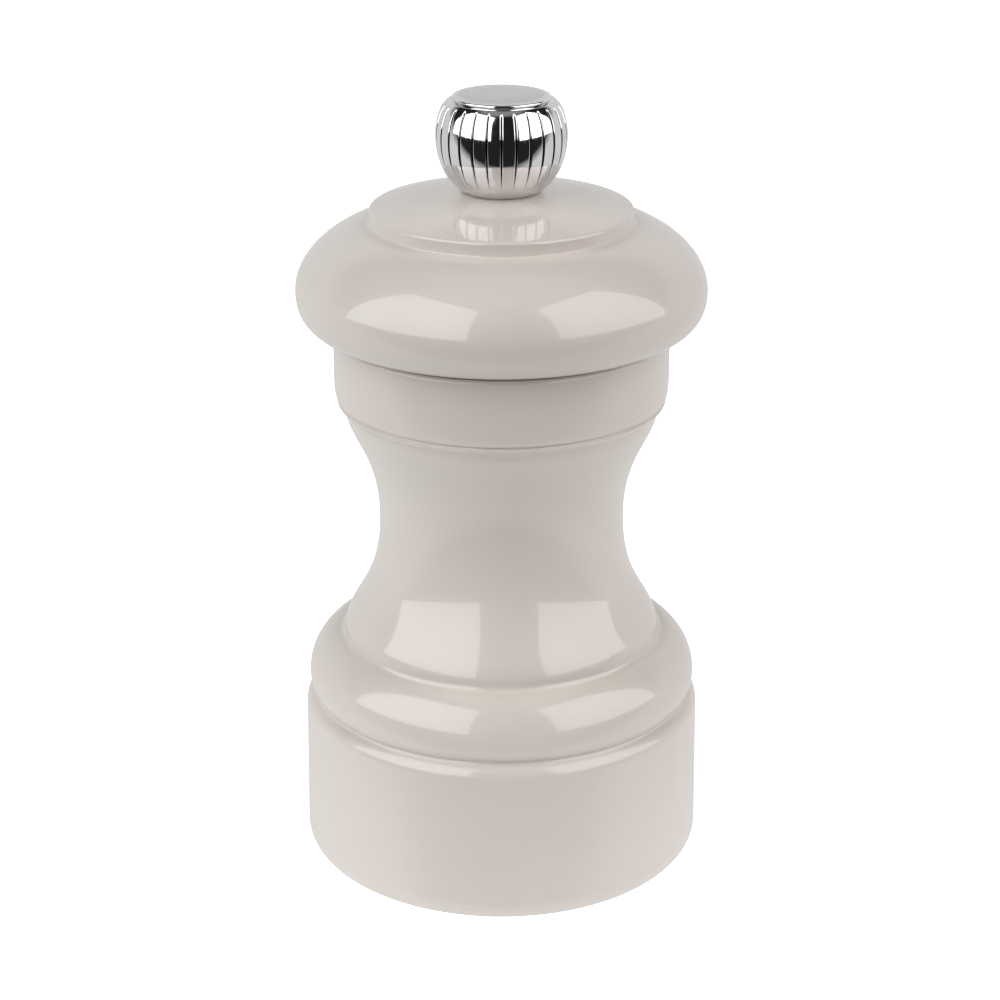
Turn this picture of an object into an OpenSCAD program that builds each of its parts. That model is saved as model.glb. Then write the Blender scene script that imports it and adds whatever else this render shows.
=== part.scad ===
// A small turned pepper mill: a lacquered wooden body and head, a fluted ball nut on top,
// and a steel grinder on a square shaft let into the base.
// The origin is the centre of the base, on the table; +Z is up along the shaft.

/* [Overall] */
// height from the table to the top of the knob
mill_height = 100.2; // [90:0.2:160]
// diameter of the drum at the base
drum_d = 51.4; // [49:0.2:62]
// diameter of the head at its widest
head_d = 51.2; // [46:0.2:58]

/* [Body outline] */
// height of the drum up to its shoulder
drum_height = 21.9; // [20:0.1:24]
// how much the drum narrows from its base to its shoulder, on the radius
drum_taper = 0.2; // [0:0.05:0.5]
// rounding of the drum's bottom edge
base_round = 3.0; // [1.5:0.1:3.5]
// rounding of the drum's shoulder
shoulder_round = 1.9; // [0.8:0.1:2]
// depth of the notch between drum and bead, measured in from the drum's shoulder
bead_notch = 1.5; // [1:0.1:1.8]
// how far the bead stands in from the drum
bead_inset = 0.7; // [0.4:0.1:1.2]
// height of the bead above the drum's shoulder
bead_height = 7.9; // [6.5:0.1:9]
// width of the ledge on top of the bead
bead_ledge = 4.5; // [3:0.1:5]
// diameter of the waist
waist_d = 31.2; // [30:0.2:34]
// where the waist lies between the bead and the lip, as a share of the way up
waist_share = 0.52; // [0.4:0.01:0.65]
// diameter of the collar
collar_d = 42.1; // [40:0.1:44]
// height of the collar, from its lower notch to its top
collar_height = 8.6; // [8:0.1:10]
// rounding of the collar's lower edge
collar_round = 3.0; // [1.5:0.1:4.5]
// step between the collar and the lip under it
lip_step = 0.35; // [0.2:0.05:1]
// height of the lip under the collar
lip_height = 1.3; // [1:0.1:2]

/* [Head outline] */
// height of the head's widest line above the split
head_belly = 5.3; // [4.8:0.1:6.5]
// height of the head's shoulder above the split
head_shoulder = 13.7; // [13:0.1:15]
// height of the small step round the raised disc
disc_step = 1.9; // [1:0.1:2.2]
// diameter of the raised disc on the head
disc_d = 32.7; // [28:0.1:35]
// how far the raised disc domes up to the knob
disc_dome = 2.1; // [1.5:0.1:3]
// depth of the dark gap line between head and collar
gap_depth = 2.0; // [1:0.1:3]
// height of the dark gap line
gap_height = 0.4; // [0.2:0.05:0.6]

/* [Knob] */
// height of the knob from its foot to its top
knob_height = 12.1; // [11:0.1:13]
// diameter of the ball nut
knob_d = 16.2; // [15.6:0.1:18]
// diameter of the knob's foot
knob_foot_d = 9.5; // [8.8:0.1:10.4]
// height of the knob's rim above its widest line
knob_rise = 4.4; // [3.9:0.1:4.8]
// rounding of the knob's upper edge
knob_round = 3.0; // [2.4:0.1:3.6]
// diameter of the disc in the knob's top
cap_d = 12.1; // [10.5:0.1:12.4]
// height of the disc in the knob's top
cap_height = 0.8; // [0.7:0.1:1.2]
// number of flutes round the knob
flute_count = 28; // [16:1:32]
// depth of a flute
flute_depth = 0.42; // [0.2:0.02:0.5]
// width of a flute at the surface
flute_w = 0.62; // [0.3:0.02:0.7]

/* [Shaft] */
// width across the flats of the square shaft, and the diameter of its thread
shaft_w = 4.8; // [4:0.1:5.8]
// diameter the shaft's corners are turned to, as a multiple of its width
shaft_corner = 1.29; // [1.2:0.01:1.38]
// pitch of the thread
thread_pitch = 0.8; // [0.7:0.1:1]
// length of the thread
thread_len = 9.4; // [8:0.2:10]
// side play of the square shaft in the guide and the drive plate
shaft_play = 0.12; // [0.05:0.01:0.2]
// radial play of every round running fit
run_fit = 0.06; // [0.02:0.01:0.1]

/* [Chambers] */
// diameter of the pepper chamber
chamber_d = 23; // [18:0.5:24]
// diameter of the mouth that takes the head's tenon
mouth_d = 30; // [25:0.5:34]
// room left under the drive plate
mouth_gap = 1.2; // [0.8:0.1:3]
// play round the head's tenon
tenon_play = 0.35; // [0.3:0.05:0.6]
// length of the head's tenon
tenon_len = 7.2; // [5.5:0.1:9]
// play round the shaft in the head
head_hole_play = 0.6; // [0.4:0.1:1]
// thickness of the drive plate
plate_t = 1.2; // [0.8:0.1:1.6]

/* [Grinder] */
// outer diameter of the housing sleeve
sleeve_d = 30; // [25:0.5:30.5]
// wall of the housing sleeve
sleeve_wall = 1; // [0.8:0.1:1.4]
// height of the housing sleeve above the grinding ring
sleeve_rise = 3; // [2.8:0.1:4]
// width of the flange round the sleeve
flange_rim = 5.5; // [5:0.1:5.7]
// thickness of the flange
flange_t = 1; // [0.8:0.1:1.4]
// depth of the recess in the base below the flange
recess_depth = 3; // [2.8:0.1:4]
// height of the grinding ring
ring_height = 12; // [10:0.25:14.5]
// wall of the grinding ring at its narrowest bore
ring_wall = 4; // [3.6:0.1:5]
// how much the grinding ring opens out towards the top, on the radius
ring_flare = 2.6; // [2:0.1:3]
// how much the fine band of both grinders opens out downwards, on the radius
band_flare = 1; // [0.6:0.1:1.4]
// height of the fine band of the grinding ring
band_height = 4; // [3:0.25:5]
// gap between the grinder and the ring
grind_gap = 0.5; // [0.45:0.05:1]
// how far the turning grinder starts above the ring's lower edge
male_drop = 1.2; // [0.8:0.1:1.6]
// how far the turning grinder stands up above the ring
male_rise = 1.8; // [1:0.1:2.4]
// diameter of the turning grinder at its top
male_top_d = 12; // [11.6:0.1:13]
// number of fine teeth on the turning grinder
male_teeth = 30; // [18:1:36]
// number of coarse feed grooves on the turning grinder
feed_grooves = 5; // [3:1:6]
// number of fine teeth in the grinding ring; it has a third as many coarse ones
ring_teeth = 36; // [24:3:42]

/* [Bridge and spring] */
// width of the bridge strap
bridge_w = 8; // [7:0.25:9]
// thickness of the bridge strap
bridge_t = 1.2; // [1:0.1:1.5]
// clear height between the grinding ring and the bridge
bridge_rise = 8.4; // [7:0.1:10.2]
// wall of the shaft guide at the corners of its square hole
guide_wall = 0.75; // [0.6:0.05:1]
// width of the guide's flange outside its barrel
guide_rim = 2; // [1.6:0.1:2.4]
// thickness of the guide's flange
guide_flange_t = 1; // [0.8:0.1:1.3]
// wire of the spring
spring_wire = 0.8; // [0.6:0.05:0.9]
// room between the spring and the shaft
spring_room = 1.1; // [0.8:0.1:1.3]
// pitch of the spring's coils, as a multiple of its wire, before whole coils are fitted in
spring_open = 1.6; // [1.4:0.1:2]

/* [Fasteners] */
// head diameter of the flange screws
screw_head_d = 4.6; // [4:0.1:5]
// shank diameter of the flange screws
screw_d = 2.4; // [2:0.1:2.8]
// length of the flange screws
screw_len = 9; // [7:0.5:12]

/* [Hidden] */
$fn = 96;
lacquer = [0.80, 0.77, 0.74];
steel = [0.62, 0.63, 0.65];
chrome = [0.86, 0.87, 0.89];
brass = [0.80, 0.65, 0.32];

// outside, from the table up
drum_r = drum_d / 2;
drum_top_r = drum_r - drum_taper;
notch_r = drum_top_r - bead_notch;
bead_r = drum_r - bead_inset;
bead_top = drum_height + bead_height;
ledge_r = bead_r - bead_ledge;
cap_z = mill_height - cap_height;
foot_z = mill_height - knob_height;
disc_z = foot_z - disc_dome;
shoulder_z = disc_z - disc_step;
split_z = shoulder_z - head_shoulder;
collar_r = collar_d / 2;
collar_z = split_z - collar_height;
lip_r = collar_r - lip_step;
lip_z = collar_z - lip_height;
waist_z = bead_top + waist_share * (lip_z - bead_top);
head_r = head_d / 2;
belly_z = split_z + head_belly;

// knob: a side of two long arcs that meet at the widest line, then tighter ones in to the foot
// and over the upper edge
side_turn = 20;
edge_turn = 55;
knob_z = cap_z - knob_rise;
knob_r = knob_d / 2;
foot_r = knob_foot_d / 2;
low_r = 1.235 * knob_r;
low_end = [knob_r - low_r * (1 - cos(side_turn)), knob_z - low_r * sin(side_turn)];
foot_in = low_end[0] - foot_r;
foot_down = low_end[1] - foot_z;
under_r = (foot_in * foot_in + foot_down * foot_down)
    / (2 * (foot_in * cos(side_turn) - foot_down * sin(side_turn)));
under_c = low_end - under_r * [cos(side_turn), -sin(side_turn)];
high_r = (knob_rise - knob_round * (sin(edge_turn) - sin(side_turn))) / sin(side_turn);
edge_r = high_r - knob_round;
// the flutes' own arc, flatter than the ball's side: its radius, drop of its centre, and the
// angles it starts and ends at
flute_r = 1.2 * knob_r;
flute_drop = 0.067 * knob_r;
flute_from = -36;
flute_to = 28;
flute_wing = flute_w / 2 * (flute_depth + 0.6) / flute_depth;

// shaft and what fits round it
shaft_corner_d = shaft_w * shaft_corner;
shaft_hole = shaft_w + 2 * shaft_play;
thread_d = shaft_w;
thread_z = foot_z - 0.6;
shaft_top = thread_z + thread_len;
insert_d = thread_d + 2;
insert_bore = thread_d + 2 * run_fit;
head_hole_d = shaft_corner_d + 2 * head_hole_play;
guide_d = shaft_hole * sqrt(2) + 2 * guide_wall;
guide_flange_d = guide_d + 2 * guide_rim;
eye_d = guide_d + 5.4;
spring_d = shaft_corner_d + 2 * spring_room + 2 * spring_wire;

// grinder, from the flange up
flange_z = recess_depth;
seat_z = flange_z + flange_t;
sleeve_r = sleeve_d / 2;
sleeve_in = sleeve_r - sleeve_wall;
flange_d = sleeve_d + 2 * flange_rim;
ring_z = seat_z + 0.5;
ring_top = ring_z + ring_height;
ring_r = sleeve_in - ring_wall;
sleeve_top = ring_top + sleeve_rise;
rivet_z = sleeve_top - 1.5;
bridge_z = ring_top + bridge_rise;
bridge_top = bridge_z + bridge_t;
pocket_r = sleeve_r + 1.2;
pocket_top = bridge_top + 1.4;
screw_ring_r = (pocket_r + flange_d / 2) / 2;
male_z = ring_z + male_drop;
male_top = ring_top + male_rise;
male_r = ring_r - grind_gap;
male_low_r = male_r + band_flare * (1 - (male_z + 0.5 - ring_z) / band_height);
washer_t = 0.8;
guide_z = bridge_z - guide_flange_t;
spring_low = male_top + washer_t;
clip_z = bridge_top + 1.8;
clip_t = 0.8;

// chambers, tenon and drive plate
chamber_r = chamber_d / 2;
mouth_r = mouth_d / 2;
tenon_r = mouth_r - tenon_play;
tenon_z = split_z - tenon_len;
mouth_z = tenon_z - plate_t - mouth_gap;
plate_d = tenon_r * 1.7;
plate_screw_r = plate_d / 2 - 3.4;

// points of a curve from a to d, pulled towards b and c; the first point is left out
function curve(a, b, c, d, n) = [for (i = [1:n]) let (t = i / n, s = 1 - t)
    s*s*s*a + 3*s*s*t*b + 3*s*t*t*c + t*t*t*d];
// points of an arc about c
function bend(c, r, from, to, n) = [for (i = [0:n]) let (w = from + (to - from) * i / n)
    c + r * [cos(w), sin(w)]];

// outline of the body from the centre of its base up to the split
function body_outline() = concat(
    [[0, 0]],
    bend([drum_r - base_round, base_round], base_round, -90, 0, 8),
    bend([drum_top_r - shoulder_round, drum_height - shoulder_round], shoulder_round, 0, 75, 7),
    [[notch_r, drum_height]],
    curve([notch_r, drum_height + 0.1], [bead_r - 0.2, drum_height + 0.3],
        [bead_r, drum_height + 1.2], [bead_r, drum_height + 2.2], 5),
    curve([bead_r, drum_height + 2.2], [bead_r, drum_height + 0.67 * bead_height],
        [ledge_r + 1.7, bead_top - 0.2], [ledge_r, bead_top], 10),
    curve([ledge_r - 0.3, bead_top + 0.4], [ledge_r - 0.8, bead_top + 4.6],
        [waist_d / 2, waist_z - 0.6 * (waist_z - bead_top)], [waist_d / 2, waist_z], 18),
    curve([waist_d / 2, waist_z], [waist_d / 2, waist_z + 0.58 * (lip_z - waist_z)],
        [lip_r - 1.3, lip_z - 3.6], [lip_r - 0.9, lip_z], 14),
    curve([lip_r - 0.9, lip_z], [lip_r - 0.5, lip_z + 0.3],
        [lip_r, lip_z + 0.7], [lip_r, collar_z - 0.15], 4),
    [[lip_r - 0.2, collar_z]],
    curve([lip_r - 0.1, collar_z + 0.1], [collar_r - 0.2, collar_z + 0.3],
        [collar_r, collar_z + 0.25 * collar_round], [collar_r, collar_z + collar_round], 6),
    bend([collar_r - 0.5, split_z - 0.5], 0.5, 0, 90, 4),
    [[0, split_z]]);

// outline of the head from the split up to the knob's foot
function head_outline() = concat(
    [[0, split_z], [collar_r - gap_depth, split_z],
     [collar_r - gap_depth, split_z + gap_height]],
    curve([collar_r - 1.2, split_z + gap_height], [collar_r + 0.55, split_z + gap_height],
        [head_r, belly_z - 0.87 * head_belly], [head_r, belly_z], 12),
    curve([head_r, belly_z], [head_r, belly_z + 5],
        [disc_d / 2 + 3.1, shoulder_z - 0.3], [disc_d / 2 + 0.3, shoulder_z], 14),
    [[disc_d / 2, shoulder_z + 0.3]],
    bend([disc_d / 2 - 0.4, disc_z - 0.4], 0.4, 0, 70, 4),
    curve([disc_d / 2 - 0.4, disc_z], [disc_d / 2 - 4, disc_z + 0.5 * disc_dome],
        [knob_foot_d / 2 + 3.6, foot_z - 0.16 * disc_dome], [knob_foot_d / 2 + 0.2, foot_z], 8),
    [[0, foot_z]]);

// outline of the ball nut from its foot up to its top
function knob_outline() = concat(
    [[0, foot_z]],
    bend(under_c, under_r, atan2(foot_z - under_c[1], foot_r - under_c[0]), -side_turn, 5),
    bend([knob_r - low_r, knob_z], low_r, -10, 0, 1),
    bend([knob_r - high_r, knob_z], high_r, 7, side_turn, 2),
    bend([knob_r - high_r + edge_r * cos(side_turn), knob_z + edge_r * sin(side_turn)],
        knob_round, side_turn + 9, edge_turn, 3),
    [[0, cap_z]]);

// a round rod standing on z
module rod(d, z, h) translate([0, 0, z]) cylinder(d = d, h = h);
// a square rod standing on z
module square_rod(w, z, h) translate([-w / 2, -w / 2, z]) cube([w, w, h]);
// turned solid from an outline
module turned(points) rotate_extrude() polygon(points);
// a ring of copies
module around(n, first = 0) for (i = [0:n - 1]) rotate([0, 0, first + i * 360 / n]) children();
// a domed screw head on the plane z = 0, facing down
module dome_head(d, h) intersection() {
    translate([0, 0, -h]) cylinder(d = d, h = h);
    translate([0, 0, (d * d / 4 - h * h) / (2 * h)]) sphere(r = (d * d / 4 + h * h) / (2 * h));
}
// a cross-shaped drive, cut up into a head whose face is at z = -h
module cross_drive(w, t, h) translate([0, 0, -h - 0.1]) {
    translate([-w / 2, -t / 2, 0]) cube([w, t, 0.9]);
    translate([-t / 2, -w / 2, 0]) cube([t, w, 0.9]);
}
// a wood screw hanging down from a plane: head below it, shank and point above it
module wood_screw(head_d, head_h, d, len) {
    difference() {
        dome_head(head_d, head_h);
        cross_drive(head_d * 0.55, 0.6, head_h);
    }
    rotate_extrude() polygon([[0, -0.2], [d / 2, -0.2], [d / 2, len - d], [0, len]]);
    for (i = [0:floor((len - d - 3) / 0.9)]) translate([0, 0, 3 + i * 0.9])
        rotate_extrude() polygon([[0, -0.3], [d / 2 - 0.1, -0.3], [d / 2 + 0.18, 0],
            [d / 2 - 0.1, 0.3], [0, 0.3]]);
}

module turned_body() color(lacquer) difference() {
    turned(body_outline());
    // recess, flange seat and pocket for the grinder
    rod(flange_d + 0.4, -1, seat_z + 1);
    rod(2 * pocket_r, 0, pocket_top);
    // funnel from the chamber into the pocket
    rotate_extrude() polygon([[0, pocket_top - 0.01], [pocket_r, pocket_top - 0.01],
        [chamber_r, pocket_top + 6], [0, pocket_top + 6]]);
    rod(chamber_d, pocket_top, split_z);
    rod(mouth_d, mouth_z, split_z);
    // pilot holes of the flange screws
    around(3, 30) translate([screw_ring_r, 0, seat_z - 0.1])
        cylinder(d = screw_d + 0.5, h = screw_len);
}

module mill_housing() color(steel) difference() {
    union() {
        rod(flange_d, flange_z, flange_t);
        rod(sleeve_d, flange_z, sleeve_top - flange_z);
    }
    rod(2 * sleeve_in, ring_z, sleeve_top);
    rod(2 * (ring_r + 1.2), flange_z - 1, sleeve_top);
    around(3, 30) translate([screw_ring_r, 0, flange_z - 1])
        cylinder(d = screw_d + 0.2, h = flange_t + 2);
    around(2) translate([sleeve_in - 1, 0, rivet_z]) rotate([0, 90, 0])
        cylinder(d = 1.6, h = sleeve_wall + 2, $fn = 48);
}

module housing_screws() color(steel) around(3, 30)
    translate([screw_ring_r, 0, flange_z])
        wood_screw(screw_head_d, 1.3, screw_d, screw_len);

module grinder_ring() color(steel) difference() {
    rod(2 * sleeve_in, ring_z, ring_height);
    // the bore narrows over the fine band, then opens out to the top
    rotate_extrude() polygon([[0, ring_z - 1], [ring_r + band_flare, ring_z - 1],
        [ring_r + band_flare, ring_z], [ring_r, ring_z + band_height],
        [ring_r + ring_flare, ring_top], [ring_r + ring_flare, ring_top + 1], [0, ring_top + 1]]);
    // fine slanted teeth in the band, coarse ones up the funnel above it
    around(ring_teeth) translate([ring_r + band_flare / 2, 0, ring_z + band_height / 2])
        rotate([24, 0, 0]) rotate([0, -atan(band_flare / band_height), 0])
            tooth(band_height + 0.8, 0.45, 0.4);
    around(ring_teeth / 3) translate([ring_r + ring_flare / 2, 0, ring_z + (ring_height + band_height) / 2])
        rotate([34, 0, 0]) rotate([0, atan(ring_flare / (ring_height - band_height)), 0])
            tooth(ring_height - band_height + 4, 1.1, 1);
}
// cutter of one tooth gap: a V along Z whose edge reaches depth into the wall at +X
module tooth(length, depth, half_w) translate([0, 0, -length / 2]) linear_extrude(height = length)
    polygon([[-depth, -2 * half_w], [depth, 0], [-depth, 2 * half_w]]);

module male_grinder() color(steel) difference() {
    // fine band below, cone above
    rotate_extrude() polygon([[0, male_z], [male_low_r - 0.6, male_z], [male_low_r, male_z + 0.5],
        [male_r, ring_z + band_height], [male_top_d / 2, male_top - 0.6],
        [male_top_d / 2 - 0.5, male_top], [0, male_top]]);
    square_rod(shaft_w, male_z - 1, male_top - male_z + 2);
    // fine slanted teeth
    around(male_teeth) translate([(male_r + male_low_r) / 2, 0, (male_z + ring_z + band_height) / 2])
        rotate([-28, 0, 0]) rotate([0, -atan(band_flare / band_height), 0]) rotate([0, 0, 180])
            tooth(band_height + 1, 0.45, 0.4);
    // coarse feed grooves up the cone
    around(feed_grooves) translate([male_r - 1.2, 0, ring_z + band_height + 0.4]) rotate([-38, 0, 0])
        rotate([0, -20, 0]) translate([1.5, 0, -0.5]) cylinder(r = 2.1, h = male_top - male_z + 6, $fn = 48);
}

module grinder_washer() color(steel) difference() {
    rod(8.4, male_z - washer_t, washer_t);
    rod(3, male_z - washer_t - 1, washer_t + 2);
}

module grinder_screw() color(steel) translate([0, 0, male_z - washer_t]) {
    difference() {
        dome_head(6, 1.5);
        cross_drive(3.4, 0.7, 1.5);
    }
    rod(3, -0.3, 7.3);
}

module drive_shaft() color(steel) difference() {
    union() {
        // square part, corners turned off
        intersection() {
            square_rod(shaft_w, male_z, thread_z - male_z);
            rotate_extrude() polygon([[0, male_z], [shaft_corner_d / 2, male_z],
                [shaft_corner_d / 2, thread_z - 0.8], [shaft_corner_d / 2 - 0.8, thread_z],
                [0, thread_z]]);
        }
        // turned threaded end with a lead
        rotate_extrude() polygon([[0, thread_z - 1], [thread_d / 2 - 0.4, thread_z - 1],
            [thread_d / 2 - 0.4, thread_z + 0.2], [thread_d / 2, thread_z + 0.6],
            [thread_d / 2, shaft_top - 0.8], [thread_d / 2 - 0.8, shaft_top], [0, shaft_top]]);
    }
    // hole for the grinder's screw
    rod(3, male_z - 1, 8.2);
    // thread roots
    for (i = [0:floor((thread_len - 3) / thread_pitch)])
        translate([0, 0, thread_z + 1.4 + i * thread_pitch]) rotate_extrude()
            polygon([[thread_d / 2 - 0.4, 0], [thread_d / 2 + 0.2, -0.32], [thread_d / 2 + 0.2, 0.32]]);
    // groove for the clip
    difference() {
        rod(8, clip_z, clip_t);
        rod(shaft_w, clip_z, clip_t);
    }
}

module shaft_clip() color(steel) difference() {
    rod(9.6, clip_z, clip_t);
    rod(shaft_w, clip_z - 1, clip_t + 2);
    translate([0, -1.6, clip_z - 1]) cube([8, 3.2, clip_t + 2]);
}

module spring_washer() color(steel) difference() {
    rod(spring_d + 1.6, male_top, washer_t + 0.6);
    rod(spring_d + 0.3, male_top + washer_t, 2);
    rod(shaft_corner_d + 0.4, male_top - 1, 4);
}

// a compression spring: a round wire swept up a helix, in rings of sides
module spring() color(steel) {
    r = (spring_d - spring_wire) / 2;
    low = spring_low + spring_wire / 2;
    span = guide_z - spring_wire / 2 - low;
    turns = max(1, floor(span / (spring_open * spring_wire)));
    rings = 18 * turns;
    sides = 8;
    polyhedron(
        [for (i = [0:rings], k = [0:sides - 1])
            let (a = i * 20, w = k * 360 / sides, out = r + spring_wire / 2 * cos(w))
            [out * cos(a), out * sin(a), low + span * i / rings + spring_wire / 2 * sin(w)]],
        concat([[for (k = [0:sides - 1]) k]],
            [for (i = [0:rings - 1], k = [0:sides - 1])
                let (a = i * sides + k, b = i * sides + (k + 1) % sides)
                each [[b, a, a + sides], [b, a + sides, b + sides]]],
            [[for (k = [sides - 1:-1:0]) rings * sides + k]]));
}

module bridge() color(steel) difference() {
    union() {
        // strap over the grinder
        intersection() {
            translate([-sleeve_in, -bridge_w / 2, bridge_z]) cube([2 * sleeve_in, bridge_w, bridge_t]);
            rod(2 * sleeve_in, bridge_z, bridge_t);
        }
        rod(eye_d, bridge_z, bridge_t);
        // legs down the inside of the sleeve
        intersection() {
            translate([-sleeve_in, -bridge_w / 2, ring_top])
                cube([2 * sleeve_in, bridge_w, bridge_z + bridge_t - ring_top]);
            difference() {
                rod(2 * sleeve_in, ring_top, bridge_top - ring_top);
                rod(2 * (sleeve_in - bridge_t), ring_top - 1, bridge_top - ring_top + 2);
            }
        }
    }
    rod(guide_d + 2 * run_fit, bridge_z - 1, bridge_t + 2);
    around(2) translate([sleeve_in - 3, 0, rivet_z]) rotate([0, 90, 0])
        cylinder(d = 1.6, h = 6, $fn = 48);
}

module bridge_rivets() color(steel) around(2)
    translate([sleeve_in - bridge_t - 0.6, 0, rivet_z]) rotate([0, 90, 0]) {
        cylinder(d = 1.6, h = bridge_t + sleeve_wall + 1.2, $fn = 48);
        translate([0, 0, -0.05]) cylinder(d = 2.8, h = 0.75, $fn = 48);
        translate([0, 0, bridge_t + sleeve_wall + 0.5]) cylinder(d = 2.8, h = 0.75, $fn = 48);
    }

module shaft_guide() color(brass) difference() {
    union() {
        rod(guide_flange_d, guide_z, guide_flange_t);
        rod(guide_d, guide_z, guide_flange_t + bridge_t + 0.5);
    }
    square_rod(shaft_hole, guide_z - 1, bridge_t + 5);
}

module turned_head() color(lacquer) difference() {
    union() {
        turned(head_outline());
        // tenon with a bevelled lower edge
        rotate_extrude() polygon([[0, tenon_z], [tenon_r - 0.8, tenon_z], [tenon_r, tenon_z + 0.8],
            [tenon_r, split_z + 0.5], [0, split_z + 0.5]]);
    }
    rod(head_hole_d, tenon_z - 1, mill_height);
    around(2, 90) translate([plate_screw_r, 0, tenon_z - 0.1]) cylinder(d = 2.2, h = 6);
}

module drive_plate() color(steel) difference() {
    rod(plate_d, tenon_z - plate_t, plate_t);
    square_rod(shaft_hole, tenon_z - plate_t - 1, plate_t + 2);
    around(2, 90) translate([plate_screw_r, 0, tenon_z - plate_t - 1])
        cylinder(d = 2.2, h = plate_t + 2);
}

module drive_plate_screws() color(steel) around(2, 90)
    translate([plate_screw_r, 0, tenon_z - plate_t]) {
        difference() {
            dome_head(4, 1.1);
            cross_drive(2.2, 0.5, 1.1);
        }
        translate([0, 0, -0.2]) cylinder(d = 2.2, h = plate_t + 5);
    }

module knob_shell() color(chrome) difference() {
    turned(knob_outline());
    rod(insert_d, foot_z - 1, cap_z - foot_z + 2);
    rod(cap_d - 0.8, cap_z - 0.6, 2);
    // flutes, each a V that follows the ball's side
    around(flute_count) flute();
}
// cutter of one flute: a V bent round a point beyond the ball's axis, so it runs out at the foot
module flute() translate([knob_r - flute_r, 0, knob_z - flute_drop]) rotate([90, 0, 0])
    rotate([0, 0, flute_from]) rotate_extrude(angle = flute_to - flute_from)
        polygon([[flute_r - flute_depth, 0], [flute_r + 0.6, -flute_wing],
            [flute_r + 0.6, flute_wing]]);

// a low domed disc with a rounded rim, on a spigot let into the ball nut
module knob_cap() color(chrome) rotate_extrude() polygon(concat(
    [[0, cap_z - 0.6], [cap_d / 2 - 0.4, cap_z - 0.6], [cap_d / 2 - 0.4, cap_z]],
    bend([cap_d / 2 - 0.22, cap_z + 0.28], 0.22, -75, 65, 5),
    curve([cap_d / 2 - 0.13, cap_z + 0.48], [cap_d / 2 - 0.7, cap_z + 0.62],
        [cap_d / 2 - 2.2, mill_height], [cap_d / 2 - 3.6, mill_height], 6),
    [[0, mill_height]]));

module knob_insert() color(brass) difference() {
    rod(insert_d, foot_z, cap_z - 0.6 - foot_z);
    rod(insert_bore, foot_z - 1, mill_height);
}

turned_body();
mill_housing();
housing_screws();
grinder_ring();
bridge();
bridge_rivets();
shaft_guide();
spring();
spring_washer();
male_grinder();
grinder_washer();
grinder_screw();
drive_shaft();
shaft_clip();
turned_head();
drive_plate();
drive_plate_screws();
knob_shell();
knob_cap();
knob_insert();
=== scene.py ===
import bpy
import bmesh
import math
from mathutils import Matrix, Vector


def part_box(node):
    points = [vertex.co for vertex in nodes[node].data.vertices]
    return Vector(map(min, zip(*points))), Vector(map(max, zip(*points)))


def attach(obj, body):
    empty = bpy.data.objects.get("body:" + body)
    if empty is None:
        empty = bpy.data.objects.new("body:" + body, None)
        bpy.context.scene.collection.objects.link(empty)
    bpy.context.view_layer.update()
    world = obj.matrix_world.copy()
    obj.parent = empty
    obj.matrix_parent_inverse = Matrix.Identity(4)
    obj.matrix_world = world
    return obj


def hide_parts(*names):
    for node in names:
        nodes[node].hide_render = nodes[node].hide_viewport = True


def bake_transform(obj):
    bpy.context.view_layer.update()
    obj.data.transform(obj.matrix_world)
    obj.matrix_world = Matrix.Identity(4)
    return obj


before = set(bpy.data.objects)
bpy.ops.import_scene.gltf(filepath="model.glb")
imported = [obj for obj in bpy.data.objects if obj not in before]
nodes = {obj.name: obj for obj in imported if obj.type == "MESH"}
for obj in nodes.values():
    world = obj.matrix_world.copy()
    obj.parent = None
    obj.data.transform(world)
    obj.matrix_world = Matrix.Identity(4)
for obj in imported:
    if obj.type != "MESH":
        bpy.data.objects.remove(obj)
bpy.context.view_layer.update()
MM = 0.001

# ---------------------------------------------------------------- sizes, in mm
DRUM_R, DRUM_TOP_R, DRUM_TOP = 25.7, 25.5, 21.9
NOTCH_R, BEAD_R, BEAD_TOP, LEDGE_R = 24.0, 25.0, 29.8, 20.5
WAIST_R, WAIST_Z = 15.6, 45.76
LIP_R, LIP_Z, COLLAR_R, COLLAR_Z, SPLIT = 20.7, 60.5, 21.05, 61.8, 70.4
HEAD_R, BELLY_Z, SHOULDER_Z, DISC_R, DISC_Z = 25.6, 75.7, 84.1, 16.35, 86.0
FOOT_R, FOOT_Z, KNOB_R, KNOB_Z = 4.75, 88.1, 8.1, 95.0
CAP_R, CAP_Z, TOP = 6.05, 99.4, 100.2
CHAMBER_R, MOUTH_R, MOUTH_Z = 11.5, 15.0, 60.8
POCKET_R, POCKET_TOP, RECESS_R, SEAT_Z = 16.2, 27.5, 20.7, 4.0
TENON_R, TENON_Z, HEAD_HOLE_R = 14.65, 63.2, 3.69
SHAFT_HALF, SHAFT_CORNER, SHAFT_Z, THREAD_Z, SHAFT_TOP = 2.4, 3.096, 5.7, 87.5, 96.9
THREAD_PITCH, CLIP_Z, CLIP_T = 0.8, 27.9, 0.8
FLUTES = 28
BASE_ROUND, SHOULDER_ROUND, COLLAR_EDGE, DISC_EDGE = 3.0, 1.9, 0.5, 0.4
LIP_BASE_R = 19.8
UNDER_R = 19.1


# ---------------------------------------------------------------- outlines
def curve(a, b, c, d, n):
    """n points of a cubic from a to d, with b and c as its controls; a itself is left out."""
    out = []
    for i in range(1, n + 1):
        t = i / n
        s = 1 - t
        shares = (s**3, 3 * s * s * t, 3 * s * t * t, t**3)
        out.append(tuple(sum(w * p[k] for w, p in zip(shares, (a, b, c, d))) for k in (0, 1)))
    return out


def bend(c, r, start, end, n):
    """An arc round c of radius r, from one angle to another in degrees, in n steps."""
    out = []
    for i in range(n + 1):
        w = math.radians(start + (end - start) * i / n)
        out.append((c[0] + r * math.cos(w), c[1] + r * math.sin(w)))
    return out


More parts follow.
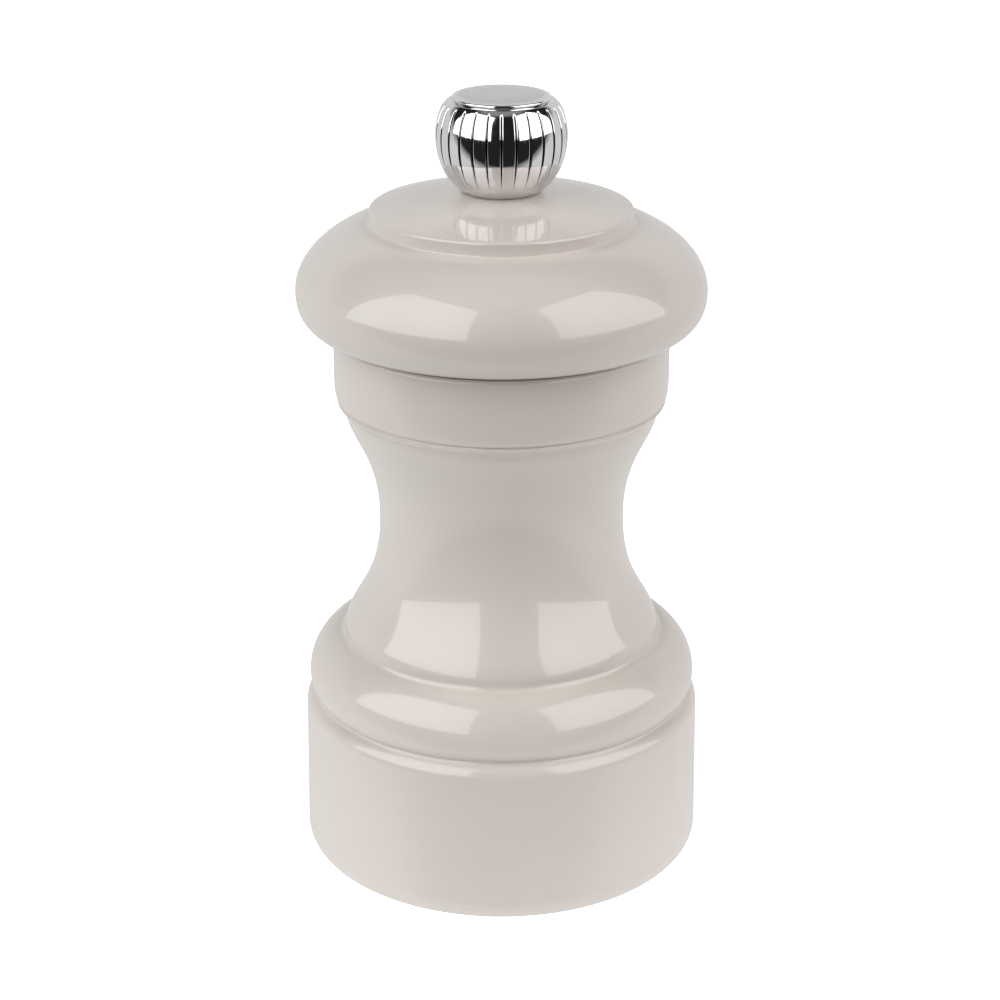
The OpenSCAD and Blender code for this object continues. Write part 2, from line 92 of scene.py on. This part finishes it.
# ---------------------------------------------------------------- mesh helpers
def finish_mesh(name, bm, materials, sharp=40.0):
    bmesh.ops.remove_doubles(bm, verts=bm.verts, dist=1e-7)
    bmesh.ops.recalc_face_normals(bm, faces=bm.faces)
    limit = math.radians(sharp)
    for e in bm.edges:
        e.smooth = not (len(e.link_faces) == 2 and e.calc_face_angle(0.0) > limit)
    for f in bm.faces:
        f.smooth = True
    me = bpy.data.meshes.new(name)
    bm.to_mesh(me)
    bm.free()
    for m in materials:
        me.materials.append(m)
    ob = bpy.data.objects.new(name, me)
    bpy.context.scene.collection.objects.link(ob)
    return ob


def lathe(name, loop, materials, inner=None, segments=192, radius=None, sharp=40.0):
    """A closed loop of (r, z) points in mm turned round Z. Faces from loop point number inner
    on take the second material; radius(r, z, angle) moves a point in or out."""
    bm = bmesh.new()
    rings = []
    for r, z in loop:
        if r < 1e-6:
            rings.append([bm.verts.new((0, 0, z * MM))])
            continue
        ring = []
        for i in range(segments):
            a = 2 * math.pi * i / segments
            rr = radius(r, z, a) if radius else r
            ring.append(bm.verts.new((rr * math.cos(a) * MM, rr * math.sin(a) * MM, z * MM)))
        rings.append(ring)
    for k in range(len(loop)):
        p, q = rings[k], rings[(k + 1) % len(loop)]
        if len(p) == 1 and len(q) == 1:
            continue
        index = 1 if inner is not None and k >= inner else 0
        for i in range(segments):
            j = (i + 1) % segments
            if len(p) == 1:
                f = bm.faces.new((p[0], q[j], q[i]))
            elif len(q) == 1:
                f = bm.faces.new((p[i], p[j], q[0]))
            else:
                f = bm.faces.new((p[i], p[j], q[j], q[i]))
            f.material_index = index
    return finish_mesh(name, bm, materials, sharp)


def place(ob, body, slot, *replaced):
    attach(ob, body)
    if replaced:
        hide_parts(*replaced)


# ---------------------------------------------------------------- materials
class Nodes:
    def __init__(self, name):
        self.mat = bpy.data.materials.new(name)
        self.mat.use_nodes = True
        self.tree = self.mat.node_tree
        self.tree.nodes.clear()
        self.out = self.add("ShaderNodeOutputMaterial")
        self.bsdf = self.add("ShaderNodeBsdfPrincipled")
        self.link(self.bsdf.outputs[0], self.out.inputs["Surface"])
        self.coord = self.add("ShaderNodeTexCoord")

    def add(self, kind, **values):
        n = self.tree.nodes.new(kind)
        for key, value in values.items():
            setattr(n, key, value)
        return n

    def link(self, a, b):
        self.tree.links.new(a, b)

    def set(self, **values):
        for key, value in values.items():
            self.bsdf.inputs[key.replace("_", " ")].default_value = value

    def noise(self, scale, detail=3.0, rough=0.5, stretch=None):
        n = self.add("ShaderNodeTexNoise")
        n.inputs["Scale"].default_value = scale
        n.inputs["Detail"].default_value = detail
        n.inputs["Roughness"].default_value = rough
        source = self.coord.outputs["Object"]
        if stretch:
            m = self.add("ShaderNodeMapping")
            m.inputs["Scale"].default_value = stretch
            self.link(source, m.inputs["Vector"])
            source = m.outputs[0]
        self.link(source, n.inputs["Vector"])
        return n.outputs["Fac"]

    def ramp(self, fac, stops):
        r = self.add("ShaderNodeValToRGB")
        while len(r.color_ramp.elements) < len(stops):
            r.color_ramp.elements.new(0.5)
        for e, (p, c) in zip(r.color_ramp.elements, stops):
            e.position = p
            e.color = (*c, 1) if isinstance(c, tuple) else (c, c, c, 1)
        self.link(fac, r.inputs[0])
        return r.outputs[0]

    def mix(self, fac, a, b):
        m = self.add("ShaderNodeMix", data_type="RGBA")
        for value, key in ((fac, 0), (a, 6), (b, 7)):
            if isinstance(value, (int, float)):
                m.inputs[key].default_value = value
            elif isinstance(value, tuple):
                m.inputs[key].default_value = (*value, 1)
            else:
                self.link(value, m.inputs[key])
        return m.outputs[2]

    def math(self, op, a, b=0.0):
        m = self.add("ShaderNodeMath", operation=op)
        for value, key in ((a, 0), (b, 1)):
            if isinstance(value, (int, float)):
                m.inputs[key].default_value = value
            else:
                self.link(value, m.inputs[key])
        return m.outputs[0]

    def bump(self, height, strength, distance, before=None):
        b = self.add("ShaderNodeBump")
        b.inputs["Strength"].default_value = strength
        b.inputs["Distance"].default_value = distance
        self.link(height, b.inputs["Height"])
        if before is not None:
            self.link(before, b.inputs["Normal"])
        return b.outputs[0]

    def edges(self, low=0.505, high=0.56):
        g = self.add("ShaderNodeNewGeometry")
        return self.ramp(g.outputs["Pointiness"], [(low, 0.0), (high, 1.0)])

    def colour(self, out):
        self.link(out, self.bsdf.inputs["Base Color"])

    def rough(self, out):
        self.link(out, self.bsdf.inputs["Roughness"])

    def normal(self, out):
        self.link(out, self.bsdf.inputs["Normal"])


def lacquer():
    """Warm grey gloss lacquer: faint clouding, fine specks, paler worn edges, a soft orange peel."""
    n = Nodes("lacquer_gloss")
    cloud = n.noise(55.0, 4.0, 0.55)
    base = n.ramp(cloud, [(0.25, (0.598, 0.551, 0.507)), (0.75, (0.628, 0.578, 0.532))])
    fine = n.noise(900.0, 2.0)
    base = n.mix(n.ramp(fine, [(0.64, 0.0), (0.82, 0.10)]), base, (0.46, 0.42, 0.38))
    worn = n.mix(n.math("MULTIPLY", n.edges(0.54, 0.64), 0.20), base, (0.72, 0.67, 0.63))
    n.colour(worn)
    n.rough(n.ramp(n.noise(140.0, 3.0), [(0.3, 0.30), (0.7, 0.38)]))
    wave = n.noise(60.0, 2.0, 0.4)
    peel = n.noise(420.0, 2.0, 0.4)
    n.normal(n.bump(wave, 0.06, 0.0006, n.bump(peel, 0.05, 0.0001)))
    n.set(IOR=1.45, Coat_Weight=0.9, Coat_Roughness=0.045, Coat_IOR=1.5)
    return n.mat


def bare_wood():
    """Pale beech: grain along Z with darker flecks and turning marks."""
    n = Nodes("bare_beech")
    grain = n.noise(160.0, 6.0, 0.6, (1.0, 1.0, 0.06))
    tones = [(0.30, (0.42, 0.25, 0.13)), (0.55, (0.60, 0.40, 0.23)), (0.80, (0.70, 0.50, 0.31))]
    base = n.ramp(grain, tones)
    fleck = n.noise(1400.0, 2.0, 0.5, (1.0, 1.0, 0.12))
    base = n.mix(n.ramp(fleck, [(0.60, 0.0), (0.72, 0.45)]), base, (0.28, 0.15, 0.07))
    n.colour(base)
    n.rough(n.ramp(grain, [(0.3, 0.62), (0.7, 0.50)]))
    marks = n.noise(2500.0, 1.0, 0.4, (0.02, 0.02, 1.0))
    n.normal(n.bump(marks, 0.15, 0.0001, n.bump(grain, 0.2, 0.0002)))
    return n.mat


def metal(name, dark, light, rough_low, rough_high, scale=300.0, stretch=(1.0, 1.0, 0.15),
          wear=(0.8, 0.8, 0.8), bump=0.08):
    """A machined metal: streaks, small spots, brighter worn edges."""
    n = Nodes(name)
    n.set(Metallic=1.0)
    streak = n.noise(scale, 5.0, 0.6, stretch)
    base = n.ramp(streak, [(0.3, dark), (0.7, light)])
    spots = n.noise(scale * 4, 2.0)
    base = n.mix(n.ramp(spots, [(0.62, 0.0), (0.76, 0.35)]), base, tuple(0.6 * v for v in dark))
    n.colour(n.mix(n.math("MULTIPLY", n.edges(), 0.5), base, wear))
    n.rough(n.ramp(streak, [(0.3, rough_low), (0.7, rough_high)]))
    n.normal(n.bump(streak, bump, 0.0001))
    return n.mat


def chrome():
    """Bright plating with faint hairlines and a slight ripple, with painted shade making it near black in
    the bottoms of the flutes.
    """
    n = Nodes("chrome_plate")
    n.set(Metallic=1.0)
    haze = n.noise(500.0, 4.0)
    plain = n.ramp(haze, [(0.3, (0.74, 0.74, 0.755)), (0.7, (0.83, 0.83, 0.84))])
    split = n.add("ShaderNodeSeparateXYZ")
    n.link(n.coord.outputs["Object"], split.inputs[0])
    around = n.math("ARCTAN2", split.outputs[1], split.outputs[0])
    turns = n.math("MULTIPLY", around, FLUTES / (2 * math.pi))
    share = n.math("FRACT", n.math("ADD", turns, 100.0))
    from_land = n.math("ABSOLUTE", n.math("SUBTRACT", share, 0.5))
    # painted shade: the colour goes near black in the bottoms of the flutes, fading out near the foot and
    # the top edge
    groove = n.ramp(from_land, [(0.425, 0.0), (0.465, 1.0)])
    height = n.math("MULTIPLY", n.math("SUBTRACT", split.outputs[2], FOOT_Z * MM), 80.0)
    flute_shade_reach = n.ramp(height, [(0.10, 0.0), (0.32, 1.0), (0.84, 1.0), (0.88, 0.0)])
    n.colour(n.mix(n.math("MULTIPLY", n.math("MULTIPLY", groove, flute_shade_reach), 0.9), plain, (0.045, 0.043, 0.045)))
    n.rough(n.ramp(n.noise(1500.0, 3.0, 0.6, (1.0, 1.0, 0.2)), [(0.35, 0.045), (0.75, 0.10)]))
    n.normal(n.bump(n.noise(700.0, 2.0), 0.06, 0.00008))
    return n.mat


def brushed_cap():
    """Plated disc with a fine turned grain on its top, bright on its rim."""
    n = Nodes("cap_chrome")
    n.set(Metallic=1.0)
    split = n.add("ShaderNodeSeparateXYZ")
    n.link(n.coord.outputs["Object"], split.inputs[0])
    x2 = n.math("POWER", split.outputs[0], 2.0)
    y2 = n.math("POWER", split.outputs[1], 2.0)
    r = n.math("SQRT", n.math("ADD", x2, y2))
    top = n.ramp(n.math("MULTIPLY", r, 100.0), [(0.50, 1.0), (0.58, 0.0)])
    rings = n.add("ShaderNodeTexNoise", noise_dimensions="1D")
    rings.inputs["Scale"].default_value = 5200.0
    rings.inputs["Detail"].default_value = 3.0
    n.link(r, rings.inputs["W"])
    ring = rings.outputs["Fac"]
    haze = n.noise(600.0, 3.0)
    plain = n.ramp(haze, [(0.3, (0.76, 0.76, 0.77)), (0.7, (0.85, 0.85, 0.86))])
    turned = n.ramp(ring, [(0.3, (0.58, 0.58, 0.58)), (0.7, (0.68, 0.68, 0.68))])
    n.colour(n.mix(top, plain, turned))
    n.rough(n.math("ADD", n.ramp(haze, [(0.3, 0.06), (0.7, 0.10)]), n.math("MULTIPLY", top, 0.12)))
    n.normal(n.bump(n.math("MULTIPLY", ring, top), 0.08, 0.00004))
    return n.mat


LACQUER = lacquer()
WOOD = bare_wood()
CHROME = chrome()
CAP = brushed_cap()
STEEL = metal("satin_steel", (0.40, 0.40, 0.41), (0.58, 0.58, 0.59), 0.24, 0.38)
ZINC = metal("plated_screws", (0.46, 0.46, 0.47), (0.62, 0.62, 0.63), 0.22, 0.34, 500.0)
SPRING = metal("spring_steel", (0.34, 0.34, 0.35), (0.50, 0.50, 0.51), 0.2, 0.34, 600.0)
CUTTER = metal("hardened_steel", (0.09, 0.088, 0.085), (0.19, 0.185, 0.18), 0.34, 0.52, 380.0,
               (1.0, 1.0, 0.5), (0.42, 0.41, 0.40), 0.15)
BRASS = metal("brass", (0.55, 0.38, 0.14), (0.72, 0.52, 0.22), 0.22, 0.36, 320.0,
              (1.0, 1.0, 0.3), (0.85, 0.68, 0.36))

# ---------------------------------------------------------------- turned pieces
def turned_body():
    """Drum, notch, bead, ledge, flare, waist, lip and collar; then the bare wood inside."""
    notch_top = (NOTCH_R + 0.3, DRUM_TOP + 0.33)
    waist = (WAIST_R, WAIST_Z)
    outer = (
        bend((DRUM_R - BASE_ROUND, BASE_ROUND), BASE_ROUND, -90, 0, 18)
        + bend((DRUM_TOP_R - SHOULDER_ROUND, DRUM_TOP - SHOULDER_ROUND), SHOULDER_ROUND, 0, 62, 14)
        + curve((NOTCH_R + 0.49, DRUM_TOP - 0.22), (24.24, 21.83), (24.16, 22.02), notch_top, 10)
        + curve(notch_top, (24.62, 22.62), (BEAD_R, 23.3), (BEAD_R, 24.3), 12)
        + curve((BEAD_R, 24.3), (BEAD_R, 27.2), (22.9, 29.55), (LEDGE_R + 0.65, BEAD_TOP - 0.04), 26)
        + bend((LEDGE_R + 0.68, BEAD_TOP + 0.86), 0.9, 262, 186, 10)
        + curve((LEDGE_R - 0.23, BEAD_TOP + 0.95), (19.75, 34.4), (WAIST_R, 36.2), waist, 44)
        + curve(waist, (WAIST_R, 54.3), (19.4, 56.9), (LIP_BASE_R, LIP_Z), 34)
        + curve((LIP_BASE_R, LIP_Z), (20.1, 60.85), (LIP_R, 61.2), (LIP_R, 61.6), 8)
        + bend((LIP_R - 0.08, COLLAR_Z), 0.17, 240, 130, 5)
        + curve((LIP_R - 0.1, COLLAR_Z + 0.16), (20.85, 62.1), (COLLAR_R, 62.6), (COLLAR_R, 64.8), 14)
        + bend((COLLAR_R - COLLAR_EDGE, SPLIT - COLLAR_EDGE), COLLAR_EDGE, 0, 90, 8)
    )
    inner = [
        (MOUTH_R + 0.4, SPLIT), (MOUTH_R, SPLIT - 0.4), (MOUTH_R, MOUTH_Z), (CHAMBER_R + 0.3, MOUTH_Z),
        (CHAMBER_R, MOUTH_Z - 0.3), (CHAMBER_R, POCKET_TOP + 6), (POCKET_R, POCKET_TOP),
        (POCKET_R, SEAT_Z), (RECESS_R, SEAT_Z), (RECESS_R, 0.3), (RECESS_R + 0.3, 0.0),
    ]
    body = lathe("turned_body_lacquered", outer + inner, [LACQUER, WOOD], inner=len(outer) - 1)
    place(body, "body", "lacquer", "turned_body")


def turned_head():
    """Underside, belly, step and raised disc; then the bare tenon and the shaft's hole."""
    belly = (HEAD_R, BELLY_Z)
    outer = (
        curve((UNDER_R, SPLIT + 0.4), (21.6, SPLIT + 0.35), (HEAD_R, 71.1), belly, 30)
        + curve(belly, (HEAD_R, 80.7), (19.45, 83.8), (16.65, SHOULDER_Z), 36)
        + bend((16.6, SHOULDER_Z + 0.3), 0.25, 258, 190, 5)
        + bend((DISC_R - DISC_EDGE, DISC_Z - DISC_EDGE), DISC_EDGE, 0, 70, 9)
        + curve((DISC_R - DISC_EDGE, DISC_Z), (12.35, 87.05), (8.7, 87.76), (FOOT_R + 0.2, FOOT_Z), 26)
    )
    inner = [
        (FOOT_R - 0.4, FOOT_Z), (HEAD_HOLE_R + 0.2, FOOT_Z), (HEAD_HOLE_R, FOOT_Z - 0.2),
        (HEAD_HOLE_R, TENON_Z), (TENON_R - 0.8, TENON_Z), (TENON_R, TENON_Z + 0.8), (TENON_R, SPLIT),
        (UNDER_R, SPLIT),
    ]
    head = lathe("turned_head_lacquered", outer + inner, [LACQUER, WOOD], inner=len(outer) + 1)
    place(head, "head", "lacquer", "turned_head")


# ---------------------------------------------------------------- knob
def knob_outline():
    """Two long arcs meet at the widest line; tighter ones run in to the foot and over the edge."""
    turn_deg, edge_deg = 20, 55
    low_r, side_r, edge_r = 10.0, 8.68, 3.0
    turn = math.radians(turn_deg)
    low_end = (KNOB_R - low_r * (1 - math.cos(turn)), KNOB_Z - low_r * math.sin(turn))
    foot_in, foot_down = low_end[0] - FOOT_R, low_end[1] - FOOT_Z
    under_r = (foot_in**2 + foot_down**2) / (2 * (foot_in * math.cos(turn) - foot_down * math.sin(turn)))
    under_c = (low_end[0] - under_r * math.cos(turn), low_end[1] + under_r * math.sin(turn))
    under_a = math.degrees(math.atan2(FOOT_Z - under_c[1], FOOT_R - under_c[0]))
    edge_out = side_r - edge_r
    edge_c = (KNOB_R - side_r + edge_out * math.cos(turn), KNOB_Z + edge_out * math.sin(turn))
    return (
        [(3.45, FOOT_Z), (FOOT_R - 0.12, FOOT_Z)]
        + bend(under_c, under_r, under_a + 1.0, -turn_deg, 28)
        + bend((KNOB_R - low_r, KNOB_Z), low_r, 1.2 - turn_deg, 0, 16)
        + bend((KNOB_R - side_r, KNOB_Z), side_r, 1.4, turn_deg, 15)
        + bend(edge_c, edge_r, turn_deg + 2.5, edge_deg, 16)
        + [(6.3, CAP_Z - 0.03), (6.1, CAP_Z - 0.25), (5.6, CAP_Z - 0.3), (3.45, CAP_Z - 0.3)]
    )


def flute(r, z, angle):
    """Narrow V between wide lands, even down the side, running out at the foot and the edge."""
    if r < 5.0 or z > CAP_Z - 0.15:
        return r
    share = (angle / (2 * math.pi) * FLUTES) % 1.0
    offset = min(share, 1 - share) * 2 * math.pi * r / FLUTES
    foot = min(1.0, max(0.0, (z - FOOT_Z - 0.6) / 4.5))
    edge = min(1.0, max(0.0, (CAP_Z - 0.28 - z) / 0.45))
    depth = 0.24 * foot ** 0.8 * edge
    half = 0.09 + 0.08 * foot
    v = max(0.0, 1 - offset / half)
    return r - depth * (0.5 * v + 0.5 * v * v * (3 - 2 * v))


def knob():
    """The fluted ball and the domed disc let into its top."""
    shell = lathe("knob_fluted", knob_outline(), [CHROME], segments=FLUTES * 34, radius=flute, sharp=50.0)
    place(shell, "knob", "chrome", "knob_shell")
    rim = 0.22
    loop = (
        [(0, CAP_Z - 0.25), (CAP_R - 0.45, CAP_Z - 0.25), (CAP_R - 0.42, CAP_Z)]
        + bend((CAP_R - rim, CAP_Z + 0.28), rim, -75, 65, 12)
        + curve((CAP_R - 0.13, CAP_Z + 0.48), (5.35, CAP_Z + 0.62), (3.85, TOP), (2.45, TOP), 16)
        + [(0, TOP)]
    )
    cap = lathe("knob_top_disc", loop, [CAP], segments=160)
    place(cap, "knob", "chrome", "knob_cap")


# ---------------------------------------------------------------- spring and shaft
def tube(name, path, radius, sides, material):
    """A round wire along path, in mm, with flat ends."""
    bm = bmesh.new()
    rings = []
    for k, p in enumerate(path):
        a, b = Vector(path[max(0, k - 1)]), Vector(path[min(len(path) - 1, k + 1)])
        t = (b - a).normalized()
        out = Vector((p[0], p[1], 0)).normalized()
        side = t.cross(out).normalized()
        out = side.cross(t)
        rings.append([bm.verts.new((Vector(p) + radius * (math.cos(w) * out + math.sin(w) * side)) * MM)
                      for w in (2 * math.pi * i / sides for i in range(sides))])
    for p, q in zip(rings, rings[1:]):
        for i in range(sides):
            j = (i + 1) % sides
            bm.faces.new((p[i], p[j], q[j], q[i]))
    bm.faces.new(rings[0])
    bm.faces.new(list(reversed(rings[-1])))
    return finish_mesh(name, bm, [material])


def spring():
    """A coil with a flat half turn at each end, between the guide and the spindle."""
    low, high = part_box("spring")
    wire, turns, dead, steps = 0.4, 3.9, 0.55, 40
    z_low, z_high = low.z / MM + wire, high.z / MM - wire
    r = 0.5 * (high.x - low.x) / MM - wire
    path = []
    for i in range(int(turns * steps) + 1):
        t = i / steps
        if t < dead:
            z = z_low
        elif t > turns - dead:
            z = z_high
        else:
            z = z_low + (z_high - z_low) * ((t - dead) / (turns - 2 * dead))
        path.append((r * math.cos(2 * math.pi * t), r * math.sin(2 * math.pi * t), z))
    coil = tube("spring_coil", path, wire, 14, SPRING)
    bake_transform(coil)
    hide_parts("spring")


def shaft_side(r, z, angle):
    """Square with its corners turned off; above THREAD_Z a right-hand thread with a lead."""
    if r < 2.0 or (r == 2.4 and z < THREAD_Z):
        return r
    if z < THREAD_Z:
        return min(r, SHAFT_CORNER, SHAFT_HALF / max(abs(math.cos(angle)), abs(math.sin(angle))))
    share = ((z - THREAD_Z) / THREAD_PITCH - angle / (2 * math.pi)) % 1.0
    crest = min(1.0, 2.6 * min(share, 1 - share))
    lead = max(0.0, min(1.0, (z - THREAD_Z - 0.3) / 0.5, (SHAFT_TOP - z) / 0.6))
    return 2.0 + 0.4 * crest * lead


def drive_shaft():
    """Tapped foot, square length with the clip's groove, and the turned thread."""
    loop = (
        [(0, SHAFT_Z + 7.2), (1.5, SHAFT_Z + 7.2), (1.5, SHAFT_Z), (3.0, SHAFT_Z), (3.1, SHAFT_Z + 0.1)]
        + [(3.1, CLIP_Z - 0.01), (2.4, CLIP_Z), (2.4, CLIP_Z + CLIP_T), (3.1, CLIP_Z + CLIP_T + 0.01)]
        + [(3.1, THREAD_Z - 0.8), (2.3, THREAD_Z)]
        + [(2.0, THREAD_Z + 0.1 + 0.1 * i) for i in range(1, 86)]
        + [(1.6, SHAFT_TOP), (0, SHAFT_TOP)]
    )
    shaft = lathe("shaft_with_thread", loop, [STEEL], segments=96, radius=shaft_side, sharp=30.0)
    place(shaft, "spindle", "steel", "drive_shaft")


KEEP = {
    STEEL: ("mill_housing", "bridge", "spring_washer", "grinder_washer", "shaft_clip", "drive_plate"),
    ZINC: ("housing_screws", "bridge_rivets", "grinder_screw", "drive_plate_screws"),
    CUTTER: ("grinder_ring", "male_grinder"),
    BRASS: ("shaft_guide", "knob_insert"),
}


def dress_cad_pieces():
    """The CAD pieces that stay as they are get a material each."""
    for material, names in KEEP.items():
        for name in names:
            mesh = nodes[name].data
            mesh.materials.clear()
            mesh.materials.append(material)


turned_body()
turned_head()
knob()
spring()
drive_shaft()
dress_cad_pieces()

# ---------------------------------------------------------------- floor, light, camera
scene = bpy.context.scene
FLOOR = 20.0
BOX_DISTANCE, BOX_LOW, BOX_HIGH = 0.8, 0.11, 1.75
BOARD, BOARD_RADIANCE = 0.17, 0.8
CAMERA_AT, CAMERA_DOWN = (0.0, -0.3203, 0.17225), 21.31


def studio_floor():
    """A plain white floor, bright in itself, that lights nothing: see board_bounce and surround."""
    mesh = bpy.data.meshes.new("studio_floor")
    corners = [(-FLOOR, -FLOOR, 0), (FLOOR, -FLOOR, 0), (FLOOR, FLOOR, 0), (-FLOOR, FLOOR, 0)]
    mesh.from_pydata(corners, [], [(0, 1, 2, 3)])
    floor = bpy.data.objects.new("studio_floor", mesh)
    scene.collection.objects.link(floor)
    n = Nodes("studio_floor")
    n.colour(n.ramp(n.noise(3.0), [(0.3, (0.90, 0.90, 0.90)), (0.7, (0.92, 0.92, 0.92))]))
    n.set(Roughness=0.9, Specular_IOR_Level=0.1, Emission_Color=(1, 1, 1, 1), Emission_Strength=0.95)
    mesh.materials.append(n.mat)
    floor.visible_glossy = False
    floor.visible_diffuse = False


def area(name, place_at, target, size, power, colour=(1, 1, 1)):
    data = bpy.data.lights.new(name, "AREA")
    data.shape = "RECTANGLE"
    data.size, data.size_y = size
    data.energy = power
    data.color = colour
    ob = bpy.data.objects.new(name, data)
    ob.location = place_at
    ob.rotation_euler = (Vector(target) - Vector(place_at)).to_track_quat("-Z", "Y").to_euler()
    scene.collection.objects.link(ob)
    return ob


def softbox(name, azimuth, width, radiance, colour=(1, 1, 1)):
    """An upright soft light facing the mill's axis. Azimuth 0 is in front, positive to the right."""
    a = math.radians(azimuth)
    x, y = BOX_DISTANCE * math.sin(a), -BOX_DISTANCE * math.cos(a)
    middle = 0.5 * (BOX_LOW + BOX_HIGH)
    height = BOX_HIGH - BOX_LOW
    power = radiance * math.pi * width * height
    return area(name, (x, y, middle), (0, 0, middle), (width, height), power, colour)


def board_bounce():
    """The light that a white table throws up on the drum, from a patch round the base."""
    power = BOARD_RADIANCE * math.pi * BOARD**2
    board = area("board_bounce", (0, 0, 0.0006), (0, 0, 1), (BOARD, BOARD), power)
    board.visible_camera = False
    board.visible_glossy = False


def surround():
    """White below and behind the mill, a grey patch overhead, and dark elsewhere."""
    world = bpy.data.worlds.new("studio")
    scene.world = world
    world.use_nodes = True
    tree = world.node_tree
    tree.nodes.clear()
    add, link = tree.nodes.new, tree.links.new
    out = add("ShaderNodeOutputWorld")
    background = add("ShaderNodeBackground")
    background.inputs["Strength"].default_value = 0.85
    coord = add("ShaderNodeTexCoord")
    parts = add("ShaderNodeSeparateXYZ")
    link(coord.outputs["Generated"], parts.inputs[0])
    # height above a plane that rises towards the back
    back = add("ShaderNodeMath")
    back.operation = "MULTIPLY"
    back.inputs[1].default_value = 0.95
    link(parts.outputs[1], back.inputs[0])
    above = add("ShaderNodeMath")
    above.operation = "SUBTRACT"
    link(parts.outputs[2], above.inputs[0])
    link(back.outputs[0], above.inputs[1])
    move = add("ShaderNodeMapRange")
    move.inputs["From Min"].default_value = -0.15
    move.inputs["From Max"].default_value = 0.15
    link(above.outputs[0], move.inputs[0])
    ramp = add("ShaderNodeValToRGB")
    ramp.color_ramp.elements[0].color = (0.85, 0.85, 0.85, 1)
    ramp.color_ramp.elements[1].color = (0.02, 0.02, 0.021, 1)
    link(move.outputs[0], ramp.inputs[0])
    overhead = add("ShaderNodeMapRange")
    overhead.inputs["From Min"].default_value = 0.88
    overhead.inputs["From Max"].default_value = 0.96
    link(parts.outputs[2], overhead.inputs[0])
    patch = add("ShaderNodeMix")
    patch.data_type = "RGBA"
    patch.inputs[7].default_value = (0.34, 0.34, 0.345, 1)
    link(overhead.outputs[0], patch.inputs[0])
    link(ramp.outputs[0], patch.inputs[6])
    link(patch.outputs[2], background.inputs[0])
    link(background.outputs[0], out.inputs[0])


def camera():
    data = bpy.data.cameras.new("camera")
    data.sensor_width = 36.0
    data.lens = 96.66
    data.shift_x = -0.0015
    data.clip_start = 0.01
    ob = bpy.data.objects.new("camera", data)
    ob.location = CAMERA_AT
    ob.rotation_euler = (math.radians(90 - CAMERA_DOWN), 0, 0)
    scene.collection.objects.link(ob)
    scene.camera = ob


studio_floor()
softbox("softbox_left", -55, 1.20, 2.6)
softbox("softbox_right", 65, 1.08, 2.3, (1.0, 0.965, 0.96))
board_bounce()
surround()
camera()
scene.view_settings.view_transform = "Standard"
